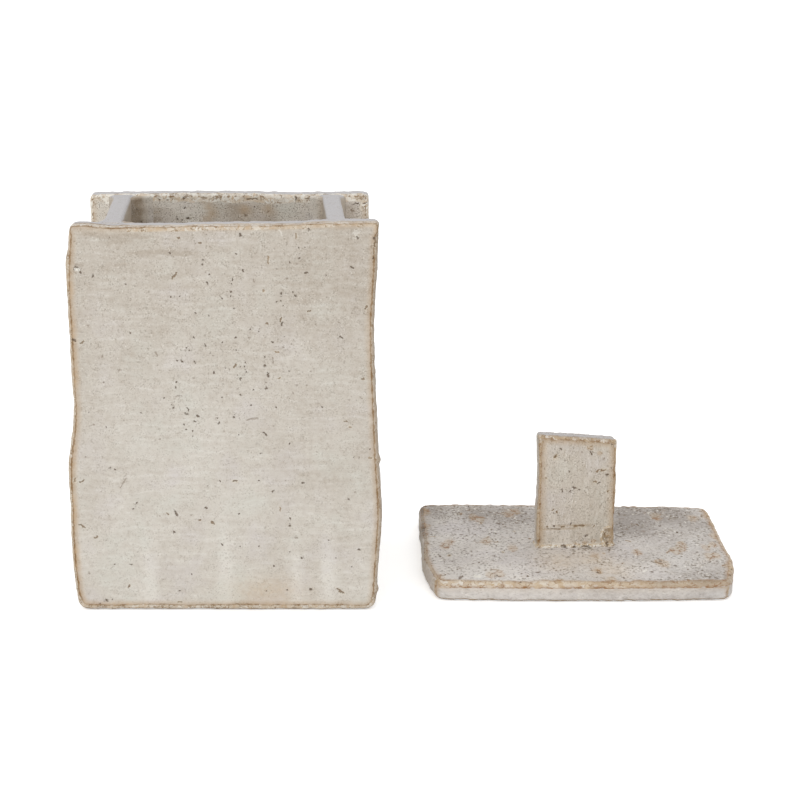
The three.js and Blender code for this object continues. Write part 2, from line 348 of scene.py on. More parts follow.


# Feldspar glaze, brushed on thick and fired to a soft sheen. It gives the eye a milky skin
# with brush lines across it, warm and thin on the edges, and less coarse on faces that look
# up, which are painted a cool grey for the reflection and shade that they take.
def brushed_glaze(name, look):
    material = bpy.data.materials.new(name)
    material.use_nodes = True
    tree = material.node_tree
    tint = {part: paint(code) for part, code in look.items() if isinstance(code, str)}
    # What lies over the coat, in order: how much of it shows, and its colour
    over = []

    spot = add_node(tree, "TexCoord")["Object"]
    spot = add_node(tree, "VectorMath", {0: spot, "Scale": 1 / MM}, operation="SCALE")[0]
    spot = add_node(tree, "VectorMath", {0: spot, 1: look["drawn_out"]}, operation="DIVIDE")[0]
    kept = {layer: add_node(tree, "Attribute", attribute_name=layer)["Fac"] for layer in PLAIN}

    # Random fields, each with the size in millimetres of what it draws
    field = {}
    for kind, size, detail, rough in (
            ("clouds", look["cloud"], 3, 0.5), ("mottle", look["mottle"], 4, 0.65),
            ("grain", look["grain"], 2, 0.6), ("worm", look["worm"], 1.5, 0.5),
            ("wander", 1.5, 4, 0.6), ("broken", 5.0, 4, 0.7), ("cool", 14.0, 2, 0.5),
            ("nibble", 0.7, 3, 0.5)):
        field[kind] = add_node(tree, "TexNoise", {"Vector": spot, "Scale": 1 / size,
                                                  "Detail": detail, "Roughness": rough})["Fac"]

    # Places pushed about by random fields of some size: those of the brush lines and of the
    # flakes, in millimetres, and those round a chosen mark, in its half widths
    pushed = {}
    for kind, size, reach, start in (("brush", 14.0, (5.0, 5.0, 5.0), spot),
                                     ("flake", 1.8, (3.0, 3.0, 3.0), spot),
                                     ("mark", 1.3, (5.0, 5.0, 0.0), (-2.5, -2.5, 0.0))):
        push = add_node(tree, "TexNoise", {"Vector": spot, "Scale": 1 / size})["Color"]
        pushed[kind] = add_node(tree, "VectorMath", {0: push, 1: reach, 2: start},
                                operation="MULTIPLY_ADD")[0]
    stroke = add_node(tree, "VectorMath", {0: pushed["brush"], 1: look["stroke"]},
                      operation="DIVIDE")[0]
    field["brush"] = add_node(tree, "TexNoise", {"Vector": stroke, "Scale": 1, "Detail": 3,
                                                 "Roughness": 0.55})["Fac"]

    # How much of each thing shows, from where to where over a field or over what is kept
    shows = {}
    for name, source, start, end, low, high in (
            ("milky", field["cool"], 0.52, 0.72, 0, 0.5),
            ("lilac", field["cool"], 0.48, 0.28, 0, 0.5),
            ("coarse", field["broken"], 0.38, 0.62, 0.3, 1.7),
            ("grit", field["grain"], 0.47, 0.22, 0, look["grit"]),
            ("glint", field["grain"], 0.6, 0.78, 0, look["glint"]),
            ("torn", field["mottle"], 0.5, 0.62, 0, look["torn"]),
            ("cream", field["mottle"], 0.35, 0.65, 0, 1),
            ("dull_and_shaded", kept["chalk_and_shade"], 0, -1, 0, 1),
            ("flakes", kept["chalk_and_shade"], 0, 1, look["cover"], 0.95),
            ("line", field["broken"], 0.38, 0.6, look["line_low"], look["line_high"])):
        shows[name] = add_node(tree, "MapRange", {"Value": source, "From Min": start,
                                                  "From Max": end, "To Min": low,
                                                  "To Max": high})[0]

    # Thin lines along the middle level of a field: furrows, and lines that wind like worms
    thread = {}
    for kind, start, shown in (("brush", 0.045, 1.0), ("worm", 0.05, 0.85)):
        off = add_node(tree, "Math", {0: field[kind], 1: 0.5}, operation="SUBTRACT")[0]
        off = add_node(tree, "Math", {0: off}, operation="ABSOLUTE")[0]
        thread[kind] = add_node(tree, "MapRange", {"Value": off, "From Min": start,
                                                   "From Max": 0.01, "To Max": shown}, **SMOOTH)[0]

    # Thick and thin: clouds, brush lines and mottling over the piece's large tones, which also
    # hold painted shade and painted light
    level = kept["tone"]
    for kind, share in look["share"].items():
        level = add_node(tree, "Math", {0: field[kind], 1: share, 2: level},
                         operation="MULTIPLY_ADD")[0]
    middle = sum(look["share"].values()) / 2
    level = add_node(tree, "MapRange", {"Value": level, "From Min": middle - 0.6,
                                        "From Max": middle + 0.4})[0]
    outer, inner = [add_node(tree, "Mix", {0: level, 6: tint[thin], 7: tint[thick]},
                             data_type="RGBA")[2]
                    for thin, thick in (("thin", "thick"), ("wash_thin", "wash_thick"))]
    skin = add_node(tree, "Mix", {0: kept["wash"], 6: outer, 7: inner}, data_type="RGBA")[2]
    for kind in ("milky", "lilac"):
        cool = add_node(tree, "Math", {0: shows[kind], 1: level}, operation="MULTIPLY")[0]
        over.append((cool, tint[kind]))
    # Faces that look up are painted cool grey: painted reflection and shade of a top face
    over.append((kept["top_shade_share"], tint["shaded_top"]))

    # Grains of grog and sand that stain the coat, and pale ones of unmelted feldspar, more
    # of them in some places than in others
    coarse = add_node(tree, "Math", {0: shows["coarse"], 1: kept["coarse"]},
                      operation="MULTIPLY")[0]
    for kind, colour in (("grit", "grit_colour"), ("glint", "white")):
        grains = add_node(tree, "Math", {0: shows[kind], 1: coarse}, operation="MULTIPLY",
                          use_clamp=True)[0]
        over.append((grains, tint[colour]))

    # Torn furrows: short dark dashes along the strokes, in patches
    furrow = thread["brush"]
    for share in (shows["torn"], kept["coarse"]):
        furrow = add_node(tree, "Math", {0: furrow, 1: share}, operation="MULTIPLY")[0]
    over.append((furrow, tint["furrow"]))

    # Rusty patches: a warm stain with thin brown lines winding through it
    rust = add_node(tree, "Math", {0: field["broken"], 1: 0.9, 2: kept["rust"]},
                    operation="MULTIPLY_ADD")[0]
    rust = add_node(tree, "MapRange", {"Value": rust, "From Min": 0.75, "From Max": 1.1},
                    **SMOOTH)[0]
    for shown, colour in ((0.35, "buff"), (thread["worm"], "line")):
        stain = add_node(tree, "Math", {0: rust, 1: shown}, operation="MULTIPLY")[0]
        over.append((stain, tint[colour]))

    # Clay that shows through where the glaze is thin or was wiped off
    clay = add_node(tree, "Math", {0: kept["bare"], 1: field["mottle"]}, operation="ADD")[0]
    clay = add_node(tree, "MapRange", {"Value": clay, "From Min": 0.78, "From Max": 1.12},
                    **SMOOTH)[0]
    over.append((clay, tint["clay"]))

    # Warm stain along the edge and wherever the piece has its own
    edge = add_node(tree, "Math", {0: field["wander"], 1: look["ragged"], 2: kept["edge"]},
                    operation="MULTIPLY_ADD")[0]
    edge = add_node(tree, "Math", {0: edge, 1: look["ragged"] / 2}, operation="SUBTRACT")[0]
    warm = add_node(tree, "MapRange", {"Value": edge, "From Min": look["warm_reach"],
                                       "From Max": 0, "To Max": look["warm"]}, **SMOOTH)[0]
    on_face = add_node(tree, "Math", {0: edge, 1: -0.3}, operation="GREATER_THAN")[0]
    warm = add_node(tree, "Math", {0: warm, 1: on_face, 2: kept["warm"]},
                    operation="MULTIPLY_ADD")[0]
    warm = add_node(tree, "Math", {0: warm, 1: field["wander"]}, operation="MULTIPLY",
                    use_clamp=True)[0]
    over.append((warm, tint["buff"]))

    # The rounded edge: a buff strip, and on it crackled flakes of white glaze
    strip_width = look["arris"] * math.pi / 2
    past, short = [add_node(tree, "MapRange", {"Value": edge, "From Min": start,
                                               "From Max": end}, **SMOOTH)[0]
                   for start, end in ((SOFT, -SOFT), (-strip_width - SOFT, -strip_width + SOFT))]
    strip = add_node(tree, "Math", {0: past, 1: short}, operation="MULTIPLY")[0]
    crust = add_node(tree, "Math", {0: field["mottle"], 1: 0.8, 2: kept["crust"]},
                     operation="MULTIPLY_ADD")[0]
    crust = add_node(tree, "MapRange", {"Value": crust, "From Min": 0.75, "From Max": 1.0},
                     **SMOOTH)[0]
    strip = add_node(tree, "Math", {0: strip, 1: crust}, operation="MAXIMUM")[0]
    tiles = {"Vector": pushed["flake"], "Scale": 1 / look["flake"]}
    flakes = add_node(tree, "TexVoronoi", tiles)["Color"]
    white = add_node(tree, "SeparateColor", {0: flakes})[0]
    for more in (field["broken"], kept["chalk_and_shade"]):
        white = add_node(tree, "Math", {0: white, 1: more}, operation="ADD")[0]
    white = add_node(tree, "MapRange", {"Value": white, "From Min": 1.2, "From Max": 1.9})[0]
    # The flakes go from buff through cream to white, and where the chalk value is below nought to
    # a dull colour, which on a side turned from the lamp is painted shade
    flake = tint["buff"]
    for share, colour in ((shows["cream"], "cream"), (white, "white"), (shows["dull_and_shaded"], "dull_and_shaded")):
        flake = add_node(tree, "Mix", {0: share, 6: flake, 7: tint[colour]},
                         data_type="RGBA")[2]
    covered = add_node(tree, "Math", {0: shows["flakes"], 1: strip}, operation="MULTIPLY")[0]
    over.append((covered, flake))
    seams = add_node(tree, "TexVoronoi", tiles, feature="DISTANCE_TO_EDGE")[0]
    seams = add_node(tree, "MapRange", {"Value": seams, "From Min": 0.12, "From Max": 0.02,
                                        "To Max": look["crackle"]})[0]
    dots = add_node(tree, "MapRange", {"Value": field["mottle"], "From Min": 0.48,
                                       "From Max": 0.6}, **SMOOTH)[0]
    for share in (strip, dots):
        seams = add_node(tree, "Math", {0: seams, 1: share}, operation="MULTIPLY")[0]
    over.append((seams, tint["line"]))

    # A ragged brown line on each side of the flakes, where the glaze broke off the arris. It
    # falls apart into dots where the piece says so.
    whole = add_node(tree, "Mix", {0: kept["lined"], 2: dots, 3: 1.0})[0]
    brown = add_node(tree, "Math", {0: shows["line"], 1: whole}, operation="MULTIPLY")[0]
    for centre, wide, shown in ((0.0, 4.0, look["glow"]), (-strip_width, 4.0, look["glow"]),
                                (0.0, 1.0, 1.0), (-strip_width, 0.8, look["outer_line"])):
        wide *= look["line_width"]
        off = add_node(tree, "Math", {0: edge, 1: centre}, operation="SUBTRACT")[0]
        off = add_node(tree, "Math", {0: off}, operation="ABSOLUTE")[0]
        off = add_node(tree, "Math", {0: off, 1: field["broken"]}, operation="DIVIDE")[0]
        line = add_node(tree, "MapRange", {"Value": off, "From Min": wide * 2.2,
                                           "From Max": wide * 0.4, "To Max": shown}, **SMOOTH)[0]
        line = add_node(tree, "Math", {0: line, 1: brown}, operation="MULTIPLY")[0]
        over.append((line, tint["line"]))

    # Pinholes: one in most cells, each with its own size, thick on the ground where the
    # piece says that it is pitted
    pores = add_node(tree, "TexVoronoi", {"Vector": spot, "Scale": 1 / look["pore_gap"]})
    radius = add_node(tree, "SeparateColor", {0: pores["Color"]})[0]
    radius = add_node(tree, "MapRange", {"Value": radius, "From Min": 0.35, "From Max": 1,
                                         "To Max": look["pore"] / look["pore_gap"]})[0]
    radius = add_node(tree, "Math", {0: radius, 1: kept["pitted"], 2: 0.0001},
                      operation="MULTIPLY_ADD")[0]
    hollow = add_node(tree, "Math", {0: pores["Distance"], 1: radius}, operation="DIVIDE")[0]
    hollow = add_node(tree, "MapRange", {"Value": hollow, "From Min": 1.25, "From Max": 0.6,
                                         "To Max": 0.85}, **SMOOTH)[0]
    over.append((hollow, tint["pit"]))

    # Chosen marks: in each layer, the distance from the nearest one in its half widths
    for order in range(MARK_LAYERS):
        place, show = [add_node(tree, "Attribute", attribute_name=f"mark_{part}_{order}")["Vector"]
                       for part in ("place", "show")]
        dark, rusty, ringed = add_node(tree, "SeparateXYZ", {0: show})
        place = add_node(tree, "VectorMath", {0: place, 1: pushed["mark"]}, operation="ADD")[0]
        along, aside, tail = add_node(tree, "SeparateXYZ", {0: place})
        past = add_node(tree, "Math", {0: along}, operation="ABSOLUTE")[0]
        past = add_node(tree, "Math", {0: past, 1: tail}, operation="SUBTRACT")[0]
        past = add_node(tree, "Math", {0: past, 1: 0}, operation="MAXIMUM")[0]
        reach = add_node(tree, "CombineXYZ", {0: past, 1: aside})[0]
        reach = add_node(tree, "VectorMath", {0: reach}, operation="LENGTH")["Value"]
        reach = add_node(tree, "Math", {0: field["nibble"], 1: 2.2, 2: reach},
                         operation="MULTIPLY_ADD")[0]
        rim, core = [add_node(tree, "MapRange", {"Value": reach, "From Min": start,
                                                 "From Max": end}, **SMOOTH)[0]
                     for start, end in ((3.6, 2.2), (2.5, 1.5))]
        rim = add_node(tree, "Math", {0: rim, 1: ringed}, operation="MULTIPLY")[0]
        over.append((rim, tint["cream"]))
        core = add_node(tree, "Math", {0: core, 1: dark}, operation="MULTIPLY")[0]
        colour = add_node(tree, "Mix", {0: rusty, 6: tint["pit"], 7: tint["line"]},
                          data_type="RGBA")[2]
        darker, paler = [add_node(tree, "Math", {0: core, 1: sign}, operation="MULTIPLY",
                                  use_clamp=True)[0] for sign in (1, -1)]
        over += [(darker, colour), (paler, tint["white"])]
        hollow = add_node(tree, "Math", {0: hollow, 1: darker}, operation="MAXIMUM")[0]

    for share, colour in over:
        skin = add_node(tree, "Mix", {0: share, 6: skin, 7: colour}, data_type="RGBA")[2]

    # The sheen is soft, and gone where bare clay shows
    sheen = add_node(tree, "MapRange", {"Value": clay, "To Min": look["roughness"],
                                        "To Max": BARE_ROUGHNESS})[0]

    # Height in millimetres: mottling, grain, brush lines, and the pits
    height = 0.0
    for source, share in ((field["mottle"], look["relief"]), (field["grain"], look["relief"] / 2),
                          (field["brush"], look["relief"] / 2), (hollow, -PIT_DEPTH),
                          (furrow, -FURROW_DEPTH)):
        height = add_node(tree, "Math", {0: source, 1: share, 2: height},
                          operation="MULTIPLY_ADD")[0]
    bump = add_node(tree, "Bump", {"Distance": MM, "Height": height})[0]

    shader = tree.nodes["Principled BSDF"]
    shader.inputs["IOR"].default_value = GLAZE_IOR
    for key, source in (("Base Color", skin), ("Roughness", sheen), ("Normal", bump)):
        tree.links.new(source, shader.inputs[key])
    return material


FRONT_CELL = 0.7
ACROSS_THE_FACE = (24.0, 24.0, 1.5)

piece, points, facing = clay_copy("front_slab", FRONT_CELL)
edge, slab_arris = from_edge("front_slab", points, (WIDE, TALL, DEEP))
outer_look = {
    # The coat: thick, thin, in cool clouds, the painted cool shade of a top face, and swilled
    # thinly inside the box
    "thick": "#dad5cc", "thin": "#b4a99b", "milky": "#cdcec4", "lilac": "#cdc6c6",
    "shaded_top": "#bbb8b9", "wash_thick": "#cbbdab", "wash_thin": "#8a7862",
    # Bare clay, warm stain, flakes, their dull colour that is painted shade on a side turned
    # from the lamp, lines, pinholes, furrows and grit
    "clay": "#a58d6f", "buff": "#c1a582", "cream": "#dad0be", "white": "#ece8de",
    "dull_and_shaded": "#a3937f", "line": "#83633a", "pit": "#584632", "furrow": "#a3937d",
    "grit_colour": "#857969",
    # Sizes in millimetres. The real grain is finer, and this one is as coarse as shows.
    "cloud": 16.0, "stroke": ACROSS_THE_FACE, "mottle": 2.4, "grain": 0.55, "worm": 2.4,
    "flake": 1.8, "pore_gap": 4.5, "pore": 0.4, "arris": slab_arris, "ragged": 1.2,
    "line_width": 0.45, "warm_reach": 3.0, "relief": 0.12,
    # How strong each shows, and how far the whole pattern is drawn out along each axis
    "share": {"clouds": 0.55, "brush": 0.75, "mottle": 1.0}, "torn": 0.2, "grit": 0.7,
    "glint": 0.5, "cover": 0.6, "crackle": 0.85, "warm": 0.8, "glow": 0.22,
    "line_low": 0.45, "line_high": 1.0, "outer_line": 1.0, "roughness": 0.5,
    "drawn_out": (1.0, 1.0, 1.0),
}
outer_glaze = brushed_glaze("brushed_feldspar_glaze", outer_look)

# Spots of the photograph where the front face has a dark pinhole or a faint one, and the
# widths in millimetres that they take in turn
FRONT_PINHOLES = [
    (203, 260), (202, 265), (209, 275), (207, 283), (171, 297), (222, 298), (130, 333), (126, 284),
    (170, 253), (195, 313), (180, 296), (209, 315), (236, 254), (243, 271), (233, 280), (232, 284),
    (231, 292), (231, 296), (234, 308), (299, 248), (305, 247), (300, 258), (290, 262), (281, 294),
    (281, 301), (283, 306), (277, 302), (293, 292), (296, 296), (251, 329), (259, 332), (374, 239),
    (374, 258), (358, 239), (309, 230), (326, 275), (194, 337), (222, 342), (205, 345), (187, 348),
    (190, 350), (210, 353), (177, 361), (182, 361), (195, 362), (226, 368), (214, 373), (176, 382),
    (176, 388), (164, 398), (172, 405), (174, 408), (188, 408), (189, 410), (141, 413), (89, 412),
    (107, 428), (184, 424), (186, 429), (193, 431), (193, 436), (217, 418), (218, 424), (220, 422),
    (222, 397), (104, 382), (236, 338), (284, 337), (273, 342), (236, 350), (265, 357), (265, 366),
    (245, 362), (245, 366), (246, 372), (240, 367), (241, 379), (289, 371), (266, 388), (254, 390),
    (251, 405), (276, 407), (322, 407), (234, 416), (239, 435), (290, 444), (241, 395), (220, 481),
    (222, 545), (192, 574), (115, 564), (131, 564), (133, 509), (137, 502), (110, 468), (115, 469),
    (174, 532), (180, 591), (107, 600), (112, 599), (100, 603), (261, 453), (259, 481), (303, 483),
    (349, 499), (239, 514), (290, 519), (290, 526), (240, 546), (259, 546), (290, 552), (302, 558),
    (336, 558), (359, 550), (274, 566), (352, 567), (266, 591), (287, 590), (311, 590), (370, 449),
    (354, 457), (273, 491), (329, 540),
]
FRONT_FAINT = [
    (110, 238), (196, 244), (206, 272), (187, 300), (88, 326), (227, 292), (297, 264), (277, 269),
    (254, 281), (287, 278), (259, 329), (352, 313), (213, 356), (102, 356), (194, 378), (170, 409),
    (94, 425), (160, 439), (249, 338), (283, 347), (245, 375), (237, 375), (311, 371), (297, 386),
    (307, 385), (266, 382), (294, 393), (238, 389), (349, 400), (362, 399), (353, 425), (86, 457),
    (101, 492), (192, 515), (160, 516), (208, 486), (89, 573), (285, 480), (356, 492), (359, 458),
]
PINHOLES = (0.5, 0.75, 0.6, 0.85, 0.65)
# Larger marks: the spot, and the length, width, slope and kind of each
FRONT_MARKS = [
    (79, 270, 3.6, 0.7, -55, "pit"), (75, 268, 2.0, 0.6, 70, "pit"),
    (77, 270, 2.0, 1.2, 0, "chip"), (93, 276, 1.1, 1.1, 0, "pit"),
    (178, 238, 1.6, 0.8, 0, "crack"), (200, 243, 1.2, 0.7, 0, "crack"),
    (174, 276, 3.4, 0.7, 60, "crack"), (268, 260, 3.4, 0.7, 95, "rust"),
    (264, 291, 1.2, 0.7, 95, "rust"), (296, 236, 2.3, 0.7, 90, "rust"),
    (306, 273, 1.7, 0.7, 0, "pit"), (352, 267, 1.6, 0.7, 0, "pit"),
    (281, 320, 2.3, 0.6, 90, "crack"), (282, 324, 0.9, 0.9, 0, "pit"),
    (309, 311, 1.6, 0.6, 25, "crack"), (267, 324, 1.2, 0.6, -35, "crack"),
    (366, 308, 2.3, 0.6, 50, "crack"), (339, 322, 1.2, 0.6, -50, "faint"),
    (356, 236, 3.4, 2.2, 0, "pale"), (281, 233, 3.0, 0.5, -60, "pale"),
    (240, 235, 1.2, 1.0, 0, "pit"), (82, 342, 2.5, 0.6, 40, "crack"),
    (74, 340, 1.4, 0.9, 0, "pit"), (156, 354, 2.3, 0.6, -65, "faint"),
    (119, 370, 1.2, 1.2, 0, "faint"), (179, 396, 2.7, 0.5, 0, "faint"),
    (187, 414, 1.6, 1.0, -25, "pit"), (198, 417, 1.4, 0.7, -50, "pit"),
    (195, 421, 1.2, 0.6, -50, "pit"), (277, 352, 2.0, 0.6, -20, "rust"),
    (341, 337, 1.6, 0.6, -20, "pit"), (235, 366, 2.0, 0.6, 60, "crack"),
    (268, 375, 1.6, 1.0, 90, "pit"), (279, 378, 1.2, 0.6, 0, "rust"),
    (363, 379, 1.2, 0.7, 30, "crack"), (252, 419, 5.0, 0.5, 10, "faint"),
    (265, 434, 2.0, 0.6, -50, "pit"), (345, 421, 1.6, 0.6, 0, "crack"),
    (350, 427, 1.2, 0.6, 0, "rust"), (273, 360, 3.0, 0.6, 90, "faint"),
    (123, 483, 4.7, 0.5, 60, "faint"), (82, 481, 2.4, 0.6, 20, "crack"),
    (75, 480, 2.3, 0.8, 80, "rust"), (82, 526, 2.5, 0.8, -20, "crack"),
    (96, 537, 2.0, 0.6, 30, "crack"), (168, 514, 1.5, 0.6, -40, "crack"),
    (176, 513, 2.8, 0.7, -65, "pit"), (206, 508, 1.6, 0.7, -25, "pit"),
    (200, 520, 1.6, 0.6, 0, "crack"), (213, 523, 2.4, 0.7, -35, "crack"),
    (129, 586, 1.6, 0.6, 60, "crack"), (180, 602, 1.6, 0.7, 0, "rust"),
    (235, 481, 2.4, 0.6, 0, "ringed"), (280, 509, 1.6, 0.6, 90, "rust"),
    (296, 538, 1.6, 0.9, 0, "faint"), (340, 591, 3.5, 0.9, -35, "crack"),
    (370, 458, 1.6, 0.6, 0, "rust"), (375, 243, 3.0, 0.7, 80, "crack"),
    (374, 251, 2.4, 0.6, 95, "rust"), (372, 247, 1.4, 0.6, 60, "faint"),
]
# Soft patches, each kind with its spots and how far it reaches along each axis: pale streaks
# where the glaze ran down, brown smears under the rim, the pale part of the rim and a warm
# stain at the foot
FRONT_PATCHES = {
    "runs": ([(151, 585), (226, 570), (296, 585), (328, 575)], (2.8, 2.0, 18.0)),
    "smears": ([(95, 236), (112, 237), (130, 236), (118, 242), (140, 253), (160, 252),
                (180, 254)], (6.0, 2.0, 0.9)),
    "pale_rim": ([(180, 224), (210, 225), (240, 225)], (16.0, 30.0, 8.0)),
    "warm_foot": ([(266, 591)], (14.0, 2.0, 6.0)),
}
# What stands out of the edge, and how high: lumps of grog, and the bulge of the left side
FRONT_LUMPS = {
    "grog": ([(379, 221), (380, 224), (378, 459), (377, 588)], (1.7, 2.5, 1.7)),
    "bulge": ([(66, 261)], (2.5, 8.0, 4.5)),
}
GROG_HEIGHT, BULGE_HEIGHT, EDGE_DEPTH = 0.9, 0.8, 2
# Between which spots the rim rises, first to the right and then to the left, how high, and
# from what share of the slab's height
FRONT_RISE = [(280, 224), (335, 224), (108, 224), (80, 224)]
FRONT_RISEN = (0.8, 1.1)
FRONT_RISE_STARTS = (0.94, 0.99)
# The spots at which the rim's strip of flakes turns from chalky to ragged, and thins out,
# and the share of the slab's height at which the rim starts
FRONT_RIM_CHANGE = [(122, 224), (262, 224)]
FRONT_RIM_STARTS = (0.965, 0.98)
# In millimetres: how high the foot's strip goes, how far it laps on to the face, how deep
# the rim's strip goes over the top and how deep its crust, and how much it is drawn out
FRONT_FOOT = (8, 2)
FRONT_STRIP_FOOT = 1.1
FRONT_STRIP_TOP = 3.8
FRONT_CRUST_ENDS = (3.2, 4.8)
FRONT_STRIP_SPREAD = 0.35
# How wide the large tones are, and the patches in which the outside is pitted
BROAD = 45
PITTED_PATCH = 30


def pitted_patches(points, seed):
    """1 where the glaze is thick with pinholes, and 0 where it has none."""
    return ease(lumps(points, PITTED_PATCH, seed), -0.3, 0.5)


pricks = []
for kind, spots in (("pit", FRONT_PINHOLES), ("faint", FRONT_FAINT)):
    for order, spot in enumerate(spots):
        width = PINHOLES[order % len(PINHOLES)]
        pricks.append((*spot, width, width, 0, kind))
front_face = points[:, 1].min()
on_front = facing @ DEEP < TO_THE_FRONT
sunk = press_marks(piece, points, (WIDE, TALL, DEEP), front_face, on_front, FRONT_MARKS + pricks)
near = patches(points, DEEP, front_face, FRONT_PATCHES)
stands = patches(points, DEEP, front_face + EDGE_DEPTH, FRONT_LUMPS)
up_share = points[:, 2] / points[:, 2].max()
side_share = ease(points[:, 0], 0, points[:, 0].max())
foot = ease(points[:, 2], *FRONT_FOOT)
# How much a face looks up, and so takes the painted cool shade of a top face
shaded_top = ease(facing[:, 2], *LEVEL)

rises = seen_on(FRONT_RISE, DEEP, front_face)[:, 0]
risen = FRONT_RISEN[0] * ease(points[:, 0], *rises[:2])
risen += FRONT_RISEN[1] * ease(points[:, 0], *rises[2:])
risen *= ease(up_share, *FRONT_RISE_STARTS)
raised = rough_slab(points, edge, SLAB_SKIN, SLAB_TORN, 1) - sunk
raised += GROG_HEIGHT * stands["grog"] + BULGE_HEIGHT * stands["bulge"]

# The strip of flakes is chalky and narrow on the left of the rim, laps over its top there,
# and is ragged and wide on the right
rim_starts, rim_fades = seen_on(FRONT_RIM_CHANGE, DEEP, front_face)[:, 0]
on_rim = ease(up_share, *FRONT_RIM_STARTS)
rim_right = ease(points[:, 0], rim_starts - 2, rim_starts + 6) * on_rim
ragged = lumps(points, 3.0, 8)
inward = points[:, 1] - front_face
seen_edge = edge + 0.9 * on_rim + 0.5 * ragged * rim_right
over_top = (on_rim > 0.5) & (rim_right < 0.5) & (inward > slab_arris)
top_edge = (FRONT_STRIP_TOP - inward) * FRONT_STRIP_SPREAD - slab_arris * math.pi / 2
seen_edge = np.where(over_top, top_edge, seen_edge)
seen_edge -= FRONT_STRIP_FOOT * foot * (0.8 + 0.4 * lumps(points, 6.0, 9))
seen_edge[points[:, 1] > points[:, 1].mean()] = NO_EDGE
rim_crust = np.where(rim_right > 0.5, ease(edge, 1.2 + 0.7 * ragged, 0.2), shaded_top * on_rim)
rim_crust *= 1 - ease(inward, *FRONT_CRUST_ENDS)
rim_crust *= 1 - 0.4 * ease(points[:, 0], rim_fades - 8, rim_fades + 8)
warm_left = (0.45 + 0.45 * lumps(points, 5.0, 10)) * ease(points[:, 0], -20, -40)
warm_left *= ease(up_share, 0.97, 0.92) * on_front * ease(edge, 3.4, 0.4)
shaped = points + facing * raised[:, None] + TALL * risen[:, None]
dress(piece, "front_slab", shaped, facing, outer_glaze, {
    "edge": seen_edge,
    # Painted light and shade: the coat is painted lighter towards the foot, for the light that the
    # floor throws up, and darker towards the top, most of all on the right
    "tone": 0.15 * (0.4 - up_share) - 0.2 * side_share * up_share + 0.45 * near["runs"]
    - 0.5 * near["smears"] + 0.15 * lumps(points, BROAD, 6)
    - ease(up_share, 0.6, 0.95) * (0.18 + 0.1 * ease(side_share, 0.1, 0.5)),
    "top_shade_share": shaded_top * 0.9,
    "pitted": np.where(on_front, 0.25, pitted_patches(points, 7)),
    "coarse": (1 - 0.6 * shaded_top) * (0.65 + 0.35 * ease(up_share, 0.3, 0.8)),
    "warm": 0.7 * near["warm_foot"] + warm_left,
    "crust": rim_crust,
    "lined": 1 - 0.4 * rim_right - 0.4 * foot,
    # On the side that faces right the flakes are painted the dull colour of shade
    "chalk_and_shade": 0.65 * on_rim - 0.5 * rim_right + 0.2 * near["pale_rim"]
    - 0.7 * ease(facing[:, 0], 0.2, 0.8) + 0.4 * foot,
    "wash": ease(facing[:, 1], 0.5, 0.9),
})


# Back slab
# The same clay and the same cut. Its inside face closes the box and takes a little of the
# thin swilled inner coat, with painted shade in its corners and at its foot. A thick cream
# edge broke and crackled along its rim.

BACK_MARKS = [
    (106, 199, 3.8, 2.4, -40, "chip"), (188, 219, 1.2, 1.0, 90, "pit"),
    (177, 219, 0.9, 0.9, 0, "pit"), (204, 198, 2.6, 0.8, 0, "rust"),
    (252, 199, 5.0, 0.6, 5, "crack"), (296, 198, 1.8, 0.7, 80, "pit"),
    (311, 199, 5.0, 0.6, -5, "crack"), (320, 209, 0.9, 0.9, 0, "pit"),
    (309, 215, 0.9, 0.9, 0, "pit"), (354, 204, 1.6, 0.5, 35, "pit"),
    (357, 203.6, 1.4, 0.5, -30, "pit"), (360.5, 204, 1.8, 0.5, 12, "pit"),
    (365, 203, 2.2, 0.5, 25, "pit"), (352, 211, 1.4, 1.0, 80, "faint"),
    (160, 200, 0.9, 0.8, 0, "pit"), (167, 200, 1.6, 0.8, 0, "crack"),
    (184, 198, 1.2, 0.8, 0, "pit"), (184, 208, 0.9, 0.9, 0, "pit"),
    (246, 216, 1.2, 1.0, 0, "faint"), (268, 212, 1.0, 0.8, 0, "faint"),
    (277, 206, 0.9, 0.8, 0, "faint"),
]
# Soft patches on the inside face, each kind with its spots and its reach: a brown stain, and dark
# patches that are painted shade, a little warm, in the left inside corner, at the foot of the face
# and in the right recess
BACK_PATCHES = {
    "stain": ([(205, 199), (209, 206), (212, 213), (208, 219), (245, 210), (268, 209)],
              (2.4, 2.0, 2.4)),
    "dark": ([(140, 219), (150, 222), (238, 207), (243, 216), (256, 212), (268, 217),
              (350, 213)], (6.5, 2.0, 5.5)),
}
# Where the crust under the rim starts, and between which spots the face gets paler
BACK_CRUST_STARTS = [(150, 200)]
BACK_PALE_SIDE = [(270, 210), (296, 210)]

piece, points, facing = clay_copy("back_slab", FRONT_CELL)
edge, slab_arris = from_edge("back_slab", points, (WIDE, TALL, DEEP))
back_face = points[:, 1].min()
on_inside = facing @ DEEP < TO_THE_FRONT
sunk = press_marks(piece, points, (WIDE, TALL, DEEP), back_face, on_inside, BACK_MARKS)
near = patches(points, DEEP, back_face, BACK_PATCHES)
pale_side = ease(points[:, 0], *seen_on(BACK_PALE_SIDE, DEEP, back_face)[:, 0]) * on_inside
crust_start = seen_on(BACK_CRUST_STARTS, DEEP, back_face)[0, 0]
under_rim = ease(edge, 3.4 + 1.6 * lumps(points, 4.0, 18), 1.4) * on_inside
under_rim *= ease(points[:, 2], points[:, 2].max() - 9, points[:, 2].max() - 6)
under_rim *= ease(points[:, 0], crust_start - 6, crust_start)
